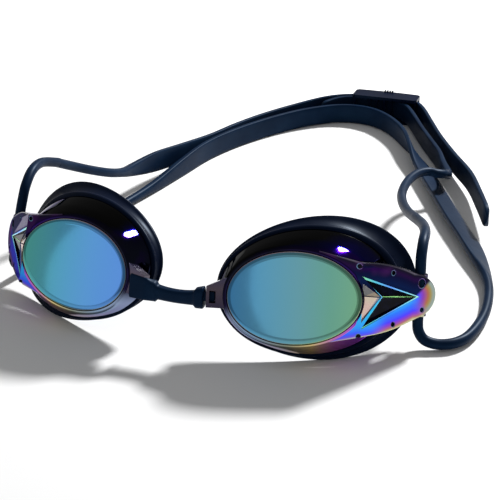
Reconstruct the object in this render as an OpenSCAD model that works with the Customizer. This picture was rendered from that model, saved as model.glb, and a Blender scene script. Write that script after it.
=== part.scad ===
// Racing swim goggles with a split silicone head strap, resting on a table.
// +Z is up, the lenses face -Y, and +X is the wearer's left. The origin is on the table, under the middle
// of the box that the goggles and their strap fill. Places in the Hidden section are measured from the point
// of the table midway between the two lenses, and placed() moves them from there to the origin.
// Each cup is drawn in its own frame: +X away from the nose, +Y back towards the face, +Z up,
// with the origin at the middle of the lens's front face.

/* [Lenses] */
// Width of each oval lens
lens_w = 41.5; // [39:0.5:43]
// Height of each oval lens
lens_h = 28.8; // [27:0.2:30]
// Thickness of the lens plate
lens_t = 1.6; // [1.2:0.1:1.7]
// Distance between the middles of the two lenses
lens_pitch = 74.3; // [73:0.1:76]

/* [Cups] */
// How far each cup turns back round the face, in degrees
wrap = 12; // [10:0.5:13]
// How far each lens leans back from upright, in degrees
rake = 18.5; // [17:0.5:19]
// Height of the middle of the lens above the table
lens_z = 21.2; // [21:0.1:22]
// Length of the face seal's oval
seal_w = 63; // [62:0.5:64]
// Height of the face seal's oval
seal_h = 44; // [43:0.5:44.5]
// Mean depth from the lens face to the edge of the face seal
seal_depth = 16; // [15.5:0.1:16.5]

/* [Wings] */
// Angle between the wing and the lens face, in degrees
sweep = 40.4; // [39:0.2:41]
// Distance from the lens's middle to the wing tip
wing_reach = 43.3; // [43:0.1:44]
// Radius of the round wing tip
tip_r = 6.6; // [6:0.1:7]
// Thickness of the wing's plate
wing_t = 2.2; // [2:0.1:2.4]
// Radius of the hole that the strap runs through
bore_r = 1.9; // [1.85:0.05:2]

/* [Strap] */
// Diameter of the strap's round cords
cord_d = 3.4; // [3:0.1:3.5]
// Height of the strap's flat bands
band_w = 8.5; // [8:0.1:8.5]
// Thickness of the strap's flat bands
band_t = 2; // [1.6:0.1:2.1]

/* [Clip] */
// Length of the rear clip
clip_l = 30; // [28:0.5:31]
// Height of the rear clip
clip_h = 12; // [11.5:0.1:12]

/* [Hidden] */

shell_colour = [0.08, 0.07, 0.2];
lens_colour = [0.25, 0.55, 0.6];
soft_colour = [0.1, 0.16, 0.25];

rest_middle = [7.35, 113, -0.37]; // middle of the resting goggles' box, on the table
ring_steps = 48;          // corners round each oval
lens_taper = -0.02;       // egg shape of the lens, as a share of its height
lens_roll = 1;            // turn of the lens's long axis, in degrees
seal_taper = 0.1;         // egg shape of the face seal
seal_roll = 2;            // turn of the seal's long axis
seal_at = [5.8, 2.0];     // middle of the seal's oval, from the lens's middle
seal_side = 6;            // extra depth at the outer end, and less at the nose
seal_ends = 2.5;          // extra depth at both ends, and less at top and bottom
seal_brow = 6;            // extra depth along the brow, and less below
lens_gap = 0.15;          // running gap round the lens plate
ledge = 1.6;              // width of the ledge that the lens sits on

fold_u = 20.5;            // where the wing starts to sweep back
wing_mid = 0.6;           // height of the wing's middle line
root_u = 7;               // where the wing's edges leave the lens rim
root_h = 14.4;            // half height of the wing there
tip_u = wing_reach - tip_r;
wing_front = 0.1;         // the wing's face, behind the lens face
rim_cut = 0.6;            // clearance cut for the lens seat, outside the lens, inside the rim's own wall
wall_t = 1.5;             // thickness of the wing's edge walls
wall_d = 5;               // depth of the wing's edge walls
bore_u = 38;              // place of the strap hole, outwards
bore_d = 17.8;            // place of the strap hole, inwards
bore_low = -7.5;          // lower end of the strap hole
bore_high = 8.8;          // upper end of the strap hole
boss_r = bore_r + 1.2;

tab_end = 27.2;           // distance from the lens's middle to the end of the nose tab
tab_t = 3.2;              // thickness of the nose tab
tab_front = 0.4;          // the tab's front, behind the lens face
socket_t = 1.6;           // thickness of the slot that the bridge's tongue enters

bridge_y = -3.9;          // middle of the bridge, in depth
bridge_z = 18.9;          // middle of the bridge's ends
bridge_sag = 1.1;         // how much lower its middle lies
bridge_half = 9.4;        // half length between the two tabs
head_l = 3;               // length of the thick head at each end
tongue_l = 2.8;           // length of the tongue beyond each head
clip_at = [11, 228.2, 6]; // middle of the clip

// Middle lines of the strap, from point to point, in millimetres
LOWER_ROUTE = [[71.3, 21.9, 7.9], [71.9, 20.9, 5.4], [74, 20.2, 3], [78, 20.6, 1.9], [82.5, 22.8, 1.8],
    [86, 28, 1.8], [88, 37, 1.8], [88.6, 48, 1.8], [87.4, 61, 2.1], [84.5, 73, 2.7], [80, 85, 3.4],
    [73.5, 100, 4], [64.5, 118, 4.2], [49.5, 150, 4.3], [33, 184, 4.3], [20, 206, 4.3], [7, 217.5, 4.3],
    [-7, 218, 4.3], [-20, 208.5, 4.3], [-31, 194, 4.3], [-41.5, 174, 4.3], [-48.5, 154, 4.3],
    [-52.5, 133, 3.6], [-56.5, 113, 2.3], [-60.5, 95, 1.9], [-64, 76, 1.8], [-67, 57, 1.8], [-69, 42, 1.9],
    [-70.2, 32, 2.6], [-70.9, 26, 4], [-71.2, 22.8, 5.8], [-71.3, 21.9, 7.9]];
LEFT_CORD_ROUTE = [[70.2, 27.2, 24], [69.9, 28.6, 27.6], [69.4, 33, 30.5], [68.3, 41, 30.5], [65.5, 51, 28.5],
    [61.2, 61.4, 25.7]];
LEFT_BAND_ROUTE = [[60.9, 62.2, 25.4], [55, 77, 21], [49.5, 93, 17.5], [46, 108, 15], [45, 122, 14],
    [46.5, 132, 13.5], [49.5, 137.6, 12.8], [53, 138.8, 12], [55.4, 141.5, 11], [56, 146.5, 9.2],
    [54.5, 153.5, 6.8], [51, 163, 5], [46.5, 175, 4.4], [40, 188, 4.4], [33.5, 201, 4.5], [27, 214, 5.2],
    [22, 222, 6], [17, 226, 6], [11, 226.9, 6], [3, 226.9, 6], [-3, 226.7, 6], [-7, 225.7, 6],
    [-10.5, 223.2, 5.9], [-13.5, 219.8, 5.5], [-16.5, 215.6, 5]];
RIGHT_CORD_ROUTE = [[-70.2, 27.2, 24], [-69.9, 28.6, 27.6], [-69.8, 31.5, 32], [-70.5, 38, 35],
    [-71.5, 47, 34.5], [-71, 57, 31]];
RIGHT_BAND_ROUTE = [[-70.9, 57.8, 30.6], [-69.5, 67, 26], [-67, 76, 21.5], [-64, 86, 17], [-63, 96, 13.5],
    [-63, 106, 11], [-60, 126, 8], [-55.5, 142, 6.3], [-50, 160, 4.8], [-44.5, 178, 4.4], [-37, 195, 4.4],
    [-26.5, 212.5, 4.6], [-16, 223.5, 5.6], [-6, 229, 6], [3, 229.7, 6], [11, 229.7, 6], [19, 229.6, 6],
    [25, 228.2, 6], [30, 221, 5.8], [36, 208, 5.4], [44, 190.5, 5], [54, 170, 5.5], [64.5, 149, 6.5],
    [72, 128, 7.5], [78.5, 108, 8.5]];

// Small helpers
function unit(v) = v / norm(v);
function smooth(x) = let (k = max(0, min(1, x))) k * k * (3 - 2 * k);
function sum_to(v, i) = i < 0 ? 0 : v[i] + sum_to(v, i - 1);
function egg(w, h, taper, roll, a) =
    let (x = w / 2 * cos(a), y = h / 2 * sin(a) * (1 + taper * cos(a)))
    [x * cos(roll) - y * sin(roll), x * sin(roll) + y * cos(roll)];

// Outline of the lens and of the face seal, each at angle a round the oval
function lens_at(a) = egg(lens_w, lens_h, lens_taper, lens_roll, a);
function seal_pt(a) = egg(seal_w, seal_h, seal_taper, seal_roll, a) + seal_at;
function seal_deep(a) = seal_depth + seal_side * cos(a) + seal_ends * cos(2 * a) + seal_brow * sin(a);

// A point of a cup's section at angle a: p is [share of the way out to the seal, extra distance out,
// share of the seal's depth, extra depth]
function section_pt(p, a) =
    let (from = lens_at(a), way = seal_pt(a) - from, out = from + p[0] * way + p[1] * unit(way))
    [out[0], p[2] * seal_deep(a) + p[3], out[1]];

// A closed section carried round the oval
module oval_ring(section) {
    n = len(section);
    points = [for (k = [0 : ring_steps - 1], p = section) section_pt(p, 360 * k / ring_steps)];
    faces = [for (k = [0 : ring_steps - 1], j = [0 : n - 1])
        let (here = k * n, next = (k + 1) % ring_steps * n, j2 = (j + 1) % n)
        each [[here + j, next + j, next + j2], [here + j, next + j2, here + j2]]];
    polyhedron(points, faces, convexity = 8);
}

// The lens's outline, moved outwards by grow, drawn as a plate from depth y0 to y1
module lens_plate(grow, y0, y1) {
    outline = [for (k = [0 : ring_steps - 1]) let (p = lens_at(360 * k / ring_steps)) p + grow * unit(p)];
    slab(outline, y0, y1);
}

module slab(outline, y0, y1) {
    translate([0, y1, 0])
        rotate([90, 0, 0])
            linear_extrude(y1 - y0)
                polygon(outline);
}

module on_sweep() {
    translate([fold_u, 0, 0])
        rotate([0, 0, sweep])
            children();
}

// The wing's outline on the swept plate, from its fold to its tip, drawn in by inset
function wing_outline(inset) =
    let (r = tip_r - inset, h = root_h - inset, run = tip_u - root_u,
         turn = atan2(h, -run) - acos(r / norm([run, h])),
         touch = [tip_u + r * cos(turn), r * sin(turn)],
         fold_h = h + (touch[1] - h) * (fold_u - root_u) / (touch[0] - root_u))
    [fold_h, [for (k = [0 : 12]) let (a = turn * (1 - k / 6))
        [(tip_u + r * cos(a) - fold_u) / cos(sweep), wing_mid + r * sin(a)]]];

module wing_slab(inset, y0, y1) {
    w = wing_outline(inset);
    on_sweep()
        slab(concat([[0, wing_mid + w[0]]], w[1], [[0, wing_mid - w[0]]]), y0, y1);
}

module root_slab(inset, y0, y1) {
    h = root_h - inset;
    f = wing_outline(inset)[0];
    slab([[root_u, wing_mid + h], [fold_u, wing_mid + f],
          [fold_u, wing_mid - f], [root_u, wing_mid - h]], y0, y1);
}

// Round dimple in the wing's face at [distance out, height]
module dimple(at, r) {
    depth = 0.8;
    if (at[0] < fold_u)
        translate([at[0], -1, at[1]])
            rotate([-90, 0, 0])
                cylinder(h = 1 + depth, r = r, $fn = 32);
    else
        on_sweep()
            translate([(at[0] - fold_u) / cos(sweep), -1, at[1]])
                rotate([-90, 0, 0])
                    cylinder(h = 1 + depth, r = r, $fn = 32);
}

// Arrow-head recess that points out along the wing
module arrow_recess() {
    tip = [(37.3 - fold_u) / cos(sweep), 0.5];
    notch = [(26.8 - fold_u) / cos(sweep), 1.1];
    on_sweep()
        slab([[1, 6.2], tip, [1, -7.2], notch], -1, 0.9);
}

module wing() {
    difference() {
        union() {
            root_slab(0, wing_front, wing_t);
            wing_slab(0, wing_front, wing_t);
            difference() {
                wing_slab(0, wing_front, wall_d);
                wing_slab(wall_t, -1, wall_d + 1);
            }
            translate([bore_u, bore_d, bore_low])
                cylinder(h = bore_high - bore_low, r = boss_r, $fn = 48);
        }
        lens_plate(rim_cut, -1, wall_d + 2);
        arrow_recess();
        for (at = [[19.8, 10.1], [29.8, 7.9], [20.4, -9.6], [30.3, -7.6], [39.1, -3.6]])
            dimple(at, 1.2);
        dimple([38.9, 4.6], 1.8);
        translate([bore_u, bore_d, bore_low - 1])
            cylinder(h = bore_high - bore_low + 2, r = bore_r, $fn = 48);
    }
}

module nose_tab() {
    difference() {
        slab([[-17.5, 6.6], [-20.6, 5.4], [-tab_end, 2.3], [-tab_end, -4.4], [-20.6, -4.4], [-17.5, -5.6]],
            tab_front, tab_front + tab_t);
        lens_plate(rim_cut, -1, wall_d + 2);
        slab([[-tab_end - 1, 1.2], [-22.6, 1.2], [-22.6, -3.4], [-tab_end - 1, -3.4]],
            tab_front + (tab_t - socket_t) / 2, tab_front + (tab_t + socket_t) / 2);
        slab([[-26, 0.7], [-24, 0.7], [-24, -2.9], [-26, -2.9]], -1, tab_front + 1);
    }
}

// Rigid cup: lens seat, side wall, rear flange, nose tab and wing
module cup() {
    color(shell_colour)
        union() {
            oval_ring([[0, 1.1, 0, 0], [0.06, 1.5, 0.06, 0.3], [0.25, 1.2, 0.22, 0.5], [0.45, 1, 0.5, 0.3],
                [0.52, 1, 0.64, 0], [0.52, -1.2, 0.66, 0], [0.43, -0.9, 0.5, 0.3], [0.22, -0.7, 0.2, 1.9],
                [0, -ledge, 0, 3.3], [0, -ledge, 0, lens_t + lens_gap], [0, lens_gap, 0, lens_t + lens_gap],
                [0, lens_gap, 0, 0]]);
            wing();
            nose_tab();
        }
}

module lens() {
    color(lens_colour)
        lens_plate(0, 0, lens_t);
}

// Soft seal: a bead behind the cup's flange and a skirt that flares to the face
module gasket() {
    color(soft_colour)
        oval_ring([[0.5, -1.1, 0.67, 0.1], [0.52, 1.2, 0.65, 0.1],
                   [0.62, 1.6, 0.7, 0.2], [0.6, 1.2, 0.78, 0.3],
            [0.8, 0.4, 0.9, 0.2], [1, 0, 1, -0.5], [1, -0.3, 1, 0.5], [0.78, -0.9, 0.97, 0.4],
            [0.52, -1, 0.86, 0.3], [0.46, -1.4, 0.74, 0.2]]);
}

module placed() {
    translate(-rest_middle)
        children();
}

module cup_place() {
    translate([lens_pitch / 2, 0, lens_z])
        rotate([0, 0, wrap])
            rotate([-rake, 0, 0])
                children();
}

module at_left() {
    placed()
        cup_place()
            children();
}

module at_right() {
    placed()
        mirror([1, 0, 0])
            cup_place()
                children();
}

// Soft bar between the nose tabs, with a thick head and a tongue at each end
module nose_bridge() {
    steps = 16;
    neck_h = 2.4;
    neck_t = 3.2;
    edge = [for (k = [0 : steps]) let (x = bridge_half * (2 * k / steps - 1), e = abs(x) / bridge_half)
        [x, bridge_z - bridge_sag * (1 - e * e), neck_h + 0.7 * pow(e, 3)]];
    color(soft_colour)
        union() {
            translate([0, bridge_y + neck_t / 2, 0])
                rotate([90, 0, 0])
                    linear_extrude(neck_t)
                        polygon(concat([for (p = edge) [p[0], p[1] + p[2]]],
                            [for (k = [steps : -1 : 0]) [edge[k][0], edge[k][1] - edge[k][2]]]));
            for (side = [-1, 1]) {
                translate([side * (bridge_half - head_l / 2), bridge_y, bridge_z])
                    cube([head_l, 4, 7], center = true);
                translate([side * (bridge_half + tongue_l / 2), bridge_y - 0.2, bridge_z + 0.6])
                    rotate([0, 0, side * wrap])
                        rotate([-rake, 0, 0])
                            cube([tongue_l, 0.8, 3], center = true);
            }
        }
}

// Middle line of a strap piece: its route drawn as a smooth curve, with one new point in each stretch
function curve_pt(route, i, t) =
    let (n = len(route) - 1, a = route[max(i - 1, 0)], b = route[i], c = route[i + 1],
         d = route[min(i + 2, n)])
    0.5 * (2 * b + (c - a) * t + (2 * a - 5 * b + 4 * c - d) * t * t + (3 * b - a - 3 * c + d) * t * t * t);
function curve(route) = concat(
    [for (i = [0 : len(route) - 2]) each [route[i], curve_pt(route, i, 0.5)]], [route[len(route) - 1]]);
function tangents(line) =
    let (n = len(line) - 1)
    [for (i = [0 : n]) unit(line[min(i + 1, n)] - line[max(i - 1, 0)])];
function across(axis, tangent) = unit(axis - (axis * tangent) * tangent);

// The band's height direction at each ring, carried along from ring i without twisting
function carry_on(axis, ways, i) =
    i >= len(ways) ? [] : let (a = across(axis, ways[i])) concat([a], carry_on(a, ways, i + 1));
function carry_back(axis, ways, i) =
    i < 0 ? [] : let (a = across(axis, ways[i])) concat(carry_back(a, ways, i - 1), [a]);

// One ring of the strap: eight corners, from a round cord (flat = 0) to a flat band (flat = 1)
function strap_ring(centre, tangent, high, flat) =
    let (w = cord_d + (band_w - cord_d) * flat, t = cord_d + (band_t - cord_d) * flat,
         c = 0.29 * cord_d + (0.6 - 0.29 * cord_d) * flat, side = cross(tangent, high), a = w / 2, b = t / 2)
    [for (p = [[a, b - c], [a - c, b], [c - a, b], [-a, b - c],
               [-a, c - b], [c - a, -b], [a - c, -b], [a, c - b]])
        centre + p[0] * high + p[1] * side];

// A strap piece along a route. It is flat between flat[1] and flat[2], measured along it, and round
// before flat[0] and after flat[3], and its height is upright in the middle of the flat stretch
module strap(route, flat) {
    line = curve(route);
    ways = tangents(line);
    steps = [for (i = [0 : len(line) - 1]) i == 0 ? 0 : norm(line[i] - line[i - 1])];
    along = [for (i = [0 : len(line) - 1]) sum_to(steps, i)];
    upright = min((flat[1] + flat[2]) / 2, along[len(line) - 1]);
    start = [for (i = [0 : len(line) - 1]) if (along[i] >= upright) i][0];
    high = concat(carry_back([0, 0, 1], ways, start), carry_on([0, 0, 1], ways, start + 1));
    points = [for (i = [0 : len(line) - 1]) each strap_ring(line[i], ways[i], high[i],
        smooth((along[i] - flat[0]) / (flat[1] - flat[0]))
        * smooth((flat[3] - along[i]) / (flat[3] - flat[2])))];
    last = (len(line) - 1) * 8;
    faces = concat([[for (j = [0 : 7]) j]],
        [for (i = [0 : len(line) - 2], j = [0 : 7])
            let (here = i * 8, next = here + 8, j2 = (j + 1) % 8)
            each [[here + j, next + j, next + j2], [here + j, next + j2, here + j2]]],
        [[for (j = [7 : -1 : 0]) last + j]]);
    color(soft_colour)
        polyhedron(points, faces, convexity = 10);
}

module lower_strap() { strap(LOWER_ROUTE, [58, 98, 330, 385]); }
module upper_cord_left() { strap(LEFT_CORD_ROUTE, [1000, 1001, 2000, 2001]); }
module upper_cord_right() { strap(RIGHT_CORD_ROUTE, [1000, 1001, 2000, 2001]); }
module upper_band_left() { strap(LEFT_BAND_ROUTE, [88, 125, 900, 901]); }
module upper_band_right() { strap(RIGHT_BAND_ROUTE, [38, 75, 900, 901]); }

// Rigid clip: a curved outer plate, rails above and below, and upright bars on the inner side
module rear_clip() {
    plate_t = 1.6;
    rail_h = 1.4;
    gap = 5.8;
    depth = plate_t + gap + 1.8;
    color(soft_colour)
        translate(clip_at)
            union() {
                translate([-clip_l / 2, gap / 2, -clip_h / 2])
                    cube([clip_l, plate_t, clip_h]);
                for (side = [-1, 1])
                    translate([-clip_l / 2, -gap / 2 - 1.8, side > 0 ? clip_h / 2 - rail_h : -clip_h / 2])
                        cube([clip_l, depth, rail_h]);
                for (x = [-clip_l / 2 + 1.2, 0, clip_l / 2 - 1.2])
                    translate([x, -gap / 2 - 0.9, -clip_h / 2])
                        cylinder(h = clip_h, r = 0.9, $fn = 24);
                for (k = [0 : 3])
                    translate([-1.5 + 1.2 * k, gap / 2 - 0.4, clip_h / 2 - 0.2])
                        cube([0.7, 2, 1]);
            }
}

at_left() cup();  // left_cup
at_left() lens();  // left_lens
at_left() gasket();  // left_gasket
at_right() cup();  // right_cup
at_right() lens();  // right_lens
at_right() gasket();  // right_gasket
placed() nose_bridge();
placed() lower_strap();
placed() upper_cord_left();
placed() upper_cord_right();
placed() upper_band_left();
placed() upper_band_right();
placed() rear_clip();
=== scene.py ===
"""Racing swim goggles on a pale floor: mirrored lenses, soft face seals, and a split silicone strap."""

import math

import bmesh
import bpy
import numpy as np
from mathutils import Matrix, Vector


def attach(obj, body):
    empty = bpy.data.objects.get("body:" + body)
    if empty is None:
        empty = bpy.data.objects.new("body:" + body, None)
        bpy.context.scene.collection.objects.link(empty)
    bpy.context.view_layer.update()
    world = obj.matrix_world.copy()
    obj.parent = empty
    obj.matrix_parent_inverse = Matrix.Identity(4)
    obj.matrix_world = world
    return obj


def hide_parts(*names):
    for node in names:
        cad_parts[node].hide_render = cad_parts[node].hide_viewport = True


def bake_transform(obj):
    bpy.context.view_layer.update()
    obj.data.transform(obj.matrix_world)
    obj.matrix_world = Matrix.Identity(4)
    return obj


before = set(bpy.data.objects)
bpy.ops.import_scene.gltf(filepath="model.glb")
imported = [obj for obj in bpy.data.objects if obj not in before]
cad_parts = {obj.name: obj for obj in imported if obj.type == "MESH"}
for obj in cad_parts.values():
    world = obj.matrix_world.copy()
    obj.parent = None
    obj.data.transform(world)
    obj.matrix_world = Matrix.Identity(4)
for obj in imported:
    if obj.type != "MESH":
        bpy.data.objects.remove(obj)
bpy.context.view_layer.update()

MM = 0.001
REST_MIDDLE = np.array([7.35, 113.0, -0.37])    # the frame's origin, from the table point between the lenses
WORD = {1: "left", -1: "right"}    # the wearer's left cup is at +x, so its side is 1

# Cups, in millimetres, as the frame has them
LENS_W, LENS_H, LENS_T = 41.5, 28.8, 1.6
LENS_PITCH, LENS_Z = 74.3, 21.2
WRAP, RAKE, SWEEP = (math.radians(a) for a in (12.0, 18.5, 40.4))
SEAL_W, SEAL_H = 63.0, 44.0
SEAL_AT = np.array([5.8, 2.0])
LEDGE, LENS_GAP = 1.6, 0.15
FOLD_U, WING_MID, ROOT_U, ROOT_H = 20.5, 0.6, 7.0, 14.4
WING_REACH, TIP_R, WING_T, WALL_T, WALL_D = 43.3, 6.6, 2.2, 1.5, 5.0
TIP_FULLER, ROOT_FULLER = 0.5, 0.6    # how much fuller the wing's outline is here than in the frame
BORE_U, BORE_D, BORE_LOW, BORE_HIGH, BORE_R = 38.0, 17.8, -7.5, 8.8, 1.9
OVAL_STEPS = 160

# Strap, in millimetres
CORD_D, BAND_W, BAND_T = 3.5, 8.5, 2.0
# Along each stretch, in millimetres: round up to the first, flat from the second to the third,
# and round again after the fourth
LOWER_FLAT, LEFT_BAND_FLAT, RIGHT_BAND_FLAT = (58, 98, 330, 385), (88, 125, 900, 901), (38, 75, 900, 901)
ROUND = (1000, 1001, 2000, 2001)
LOWER_LEAN = (124, 84, 44, -66)    # middle, reach and ramp of the lean beside the left band, and its degrees
LEFT_TIP, RIGHT_TIP = 3, 5
LOWER_ROUTE = [
    (71.3, 21.9, 7.9), (71.9, 20.9, 5.4), (74, 20.2, 3), (78, 20.6, 1.9), (82.5, 22.8, 1.8), (86, 28, 1.8),
    (88, 37, 1.8), (88.6, 48, 1.8), (87.4, 61, 2.1), (84.5, 73, 2.7), (80, 85, 3.4), (73.5, 100, 4),
    (64.5, 118, 4.2), (49.5, 150, 4.3), (33, 184, 4.3), (20, 206, 4.3), (7, 217.5, 4.3), (-7, 218, 4.3),
    (-20, 208.5, 4.3), (-31, 194, 4.3), (-41.5, 174, 4.3), (-48.5, 154, 4.3), (-52.5, 133, 3.6),
    (-56.5, 113, 2.3), (-60.5, 95, 1.9), (-64, 76, 1.8), (-67, 57, 1.8), (-69, 42, 1.9), (-70.2, 32, 2.6),
    (-70.9, 26, 4), (-71.2, 22.8, 5.8), (-71.3, 21.9, 7.9)]
LEFT_CORD_ROUTE = [
    (70.2, 27.2, 24), (69.9, 28.6, 27.6), (69.4, 33, 30.5), (68.3, 41, 30.5), (65.5, 51, 28.5),
    (61.2, 61.4, 25.7), (60.3, 63.8, 25.0)]
LEFT_BAND_ROUTE = [
    (60.9, 62.2, 25.4), (55, 77, 21), (49.5, 93, 17.5), (46, 108, 15), (45, 122, 14), (46.5, 132, 13.5),
    (49.5, 137.6, 12.8), (53, 138.8, 12), (55.4, 141.5, 11), (56, 146.5, 9.2), (54.5, 153.5, 6.8),
    (51, 163, 5), (46.5, 175, 4.4), (40, 188, 4.4), (33.5, 201, 4.5), (27, 214, 5.2), (22, 222, 6),
    (17, 226, 6), (11, 226.9, 6), (3, 226.9, 6), (-3, 226.7, 6), (-7, 225.7, 6), (-10.5, 223.2, 5.9),
    (-13.5, 219.8, 5.5), (-16.5, 215.6, 5)]
RIGHT_CORD_ROUTE = [
    (-70.2, 27.2, 24), (-69.9, 28.6, 27.6), (-69.8, 31.5, 32), (-70.5, 38, 35), (-71.5, 47, 34.5),
    (-71, 57, 31), (-70.8, 58.9, 30.1)]
RIGHT_BAND_ROUTE = [
    (-70.9, 57.8, 30.6), (-69.5, 67, 26), (-67, 76, 21.5), (-64, 86, 17), (-63, 96, 13.5), (-63, 106, 11),
    (-60, 126, 8), (-55.5, 142, 6.3), (-50, 160, 4.8), (-44.5, 178, 4.4), (-37, 195, 4.4),
    (-26.5, 212.5, 4.6), (-16, 223.5, 5.6), (-6, 229, 6), (3, 229.7, 6), (11, 229.7, 6), (19, 229.6, 6),
    (25, 228.2, 6), (30, 221, 5.8), (36, 208, 5.4), (44, 190.5, 5), (54, 170, 5.5), (64.5, 149, 6.5),
    (72, 128, 7.5), (78.5, 108, 8.5)]


def at_frame(point):
    """A place measured in millimetres from the table point between the lenses, in the frame's metres."""
    return (np.asarray(point, float) - REST_MIDDLE) * MM


# ---------------------------------------------------------------- camera
def make_camera():
    """A long lens in front of the goggles, above them and a little to the wearer's left."""
    azimuth, elevation = math.radians(19.0), math.radians(25.0)
    distance, target = 0.4, Vector(at_frame((22.94, 0.0, 35.33)))
    back = Vector((math.sin(azimuth) * math.cos(elevation), -math.cos(azimuth) * math.cos(elevation),
                   math.sin(elevation)))
    data = bpy.data.cameras.new("camera")
    data.sensor_width, data.lens = 36.0, 95.04
    data.clip_start, data.clip_end = 0.01, 20.0
    camera = bpy.data.objects.new("camera", data)
    camera.location = target + back * distance
    camera.rotation_mode = "QUATERNION"
    camera.rotation_quaternion = (-back).to_track_quat("-Z", "Y")
    bpy.context.scene.collection.objects.link(camera)
    bpy.context.scene.camera = camera


make_camera()


# ---------------------------------------------------------------- mesh helpers
def new_object(name, verts, faces, smooth=True, sharp=None):
    """An object from points in millimetres, measured from the table point between the lenses."""
    mesh = bpy.data.meshes.new(name)
    mesh.from_pydata([tuple(v) for v in (np.asarray(verts, float) - REST_MIDDLE) * MM], [], faces)
    mesh.validate()
    obj = bpy.data.objects.new(name, mesh)
    bpy.context.scene.collection.objects.link(obj)
    tidy_normals(obj)
    mesh.polygons.foreach_set("use_smooth", [smooth] * len(mesh.polygons))
    if sharp is not None:
        mesh.set_sharp_from_angle(angle=math.radians(sharp))
    return obj


def tidy_normals(obj):
    """Turns every face to the outside."""
    work = bmesh.new()
    work.from_mesh(obj.data)
    bmesh.ops.recalc_face_normals(work, faces=work.faces)
    work.to_mesh(obj.data)
    work.free()


def smoothstep(x):
    """A soft step from 0 at x = 0 to 1 at x = 1."""
    k = np.clip(x, 0.0, 1.0)
    return k * k * (3 - 2 * k)


def cup_to_table(points, side):
    """Points (outwards u, inwards d, height v) of a cup, measured from the table point between the lenses."""
    u, d, v = np.moveaxis(np.asarray(points, float), -1, 0)
    y = d * math.cos(RAKE) + v * math.sin(RAKE)
    z = -d * math.sin(RAKE) + v * math.cos(RAKE)
    x = LENS_PITCH / 2 + u * math.cos(WRAP) - y * math.sin(WRAP)
    return np.stack([side * x, u * math.sin(WRAP) + y * math.cos(WRAP), LENS_Z + z], -1)


def egg(w, h, taper, roll, a):
    """An oval w by h at the angles a, fuller at its outer end by taper, and turned by roll degrees."""
    x, y = w / 2 * np.cos(a), h / 2 * np.sin(a) * (1 + taper * np.cos(a))
    c, s = math.cos(math.radians(roll)), math.sin(math.radians(roll))
    return np.stack([x * c - y * s, x * s + y * c], -1)


def lens_at(a):
    """The lens outline (outwards, height)."""
    return egg(LENS_W, LENS_H, -0.02, 1, a)


def seal_pt(a):
    """The outline of the seal's rim (outwards, height)."""
    return egg(SEAL_W, SEAL_H, 0.1, 2, a) + SEAL_AT


def seal_deep(a):
    """How deep the seal's rim lies behind the lens: deeper at the temple and above, as a face needs."""
    return 16 + 6 * np.cos(a) + 2.5 * np.cos(2 * a) + 6 * np.sin(a)


def section_points(section, a, hug=0.0):
    """The corners of a cup's section at every angle a; hug draws the first corners in at the outer end."""
    hug_from, hug_over, hug_corners = 0.84, 0.1, 3
    start, way, deep = lens_at(a), seal_pt(a) - lens_at(a), seal_deep(a)
    unit = way / np.linalg.norm(way, axis=-1, keepdims=True)
    near = hug * smoothstep((np.cos(a) - hug_from) / hug_over)[:, None]
    rows = []
    for j, (share_out, out, share_deep, extra) in enumerate(section):
        drawn = 1 - near if j < hug_corners else 1
        place = start + (share_out * way + out * unit) * drawn
        rows.append(np.stack([place[:, 0], share_deep * deep + extra, place[:, 1]], -1))
    return np.stack(rows, 1)


def rounded(corners, radii, arc):
    """Each corner of a closed section turned into a short arc: corners is [angle, corner, 3]."""
    count, out = corners.shape[1], []
    for j in range(count):
        here, before, after = corners[:, j], corners[:, j - 1], corners[:, (j + 1) % count]
        pieces = []
        for other in (before, after):
            way = other - here
            length = np.linalg.norm(way, axis=-1, keepdims=True)
            pieces.append(here + way / length * np.minimum(radii[j], 0.45 * length))
        for t in np.linspace(0, 1, arc):
            out.append((1 - t) ** 2 * pieces[0] + 2 * t * (1 - t) * here + t * t * pieces[1])
    return np.stack(out, 1)


def ring_faces(rings, corners):
    """The faces of a closed loop of rings."""
    faces = []
    for i in range(rings):
        for j in range(corners):
            a, b = i * corners + j, (i + 1) % rings * corners + j
            c, d = (i + 1) % rings * corners + (j + 1) % corners, i * corners + (j + 1) % corners
            faces.append((a, b, c, d))
    return faces


def tube_faces(rings, corners):
    """The faces of a tube of rings, with a cap at each end."""
    faces = [(i * corners + j, (i + 1) * corners + j, (i + 1) * corners + (j + 1) % corners,
              i * corners + (j + 1) % corners) for i in range(rings - 1) for j in range(corners)]
    return faces + [tuple(range(corners)), tuple((rings - 1) * corners + j for j in range(corners))]


def prism_faces(n, ends=None):
    """The faces between two outlines of n corners; ends lists the faces of an outline, if not just one."""
    ends = ends or [tuple(range(n))]
    faces = list(ends) + [tuple(n + i for i in face)[::-1] for face in ends]
    return faces + [(i, (i + 1) % n, n + (i + 1) % n, n + i) for i in range(n)]


def turn_angles(count):
    """Even angles round one full turn."""
    return np.linspace(0, 2 * math.pi, count, endpoint=False)


def circle(x, y, r, count):
    """The corners of a circle about (x, y)."""
    return [(x + r * math.cos(a), y + r * math.sin(a)) for a in turn_angles(count)]


def rounded_section(half_w, half_h, power, count, first):
    """Corners of an ellipse (power 2) or a rounded rectangle (a higher power), from the angle first on."""
    a = turn_angles(count) + first
    c, s = np.cos(a), np.sin(a)
    return np.stack([half_w * np.sign(c) * np.abs(c) ** (2 / power),
                     half_h * np.sign(s) * np.abs(s) ** (2 / power)], -1)


def oval_ring(name, section, radii, side, arc=4, hug=0.0):
    """A cup's section carried round the lens."""
    points = rounded(section_points(section, turn_angles(OVAL_STEPS), hug), radii, arc)
    verts = cup_to_table(points, side).reshape(-1, 3)
    return new_object(name, verts, ring_faces(OVAL_STEPS, points.shape[1]))


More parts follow.
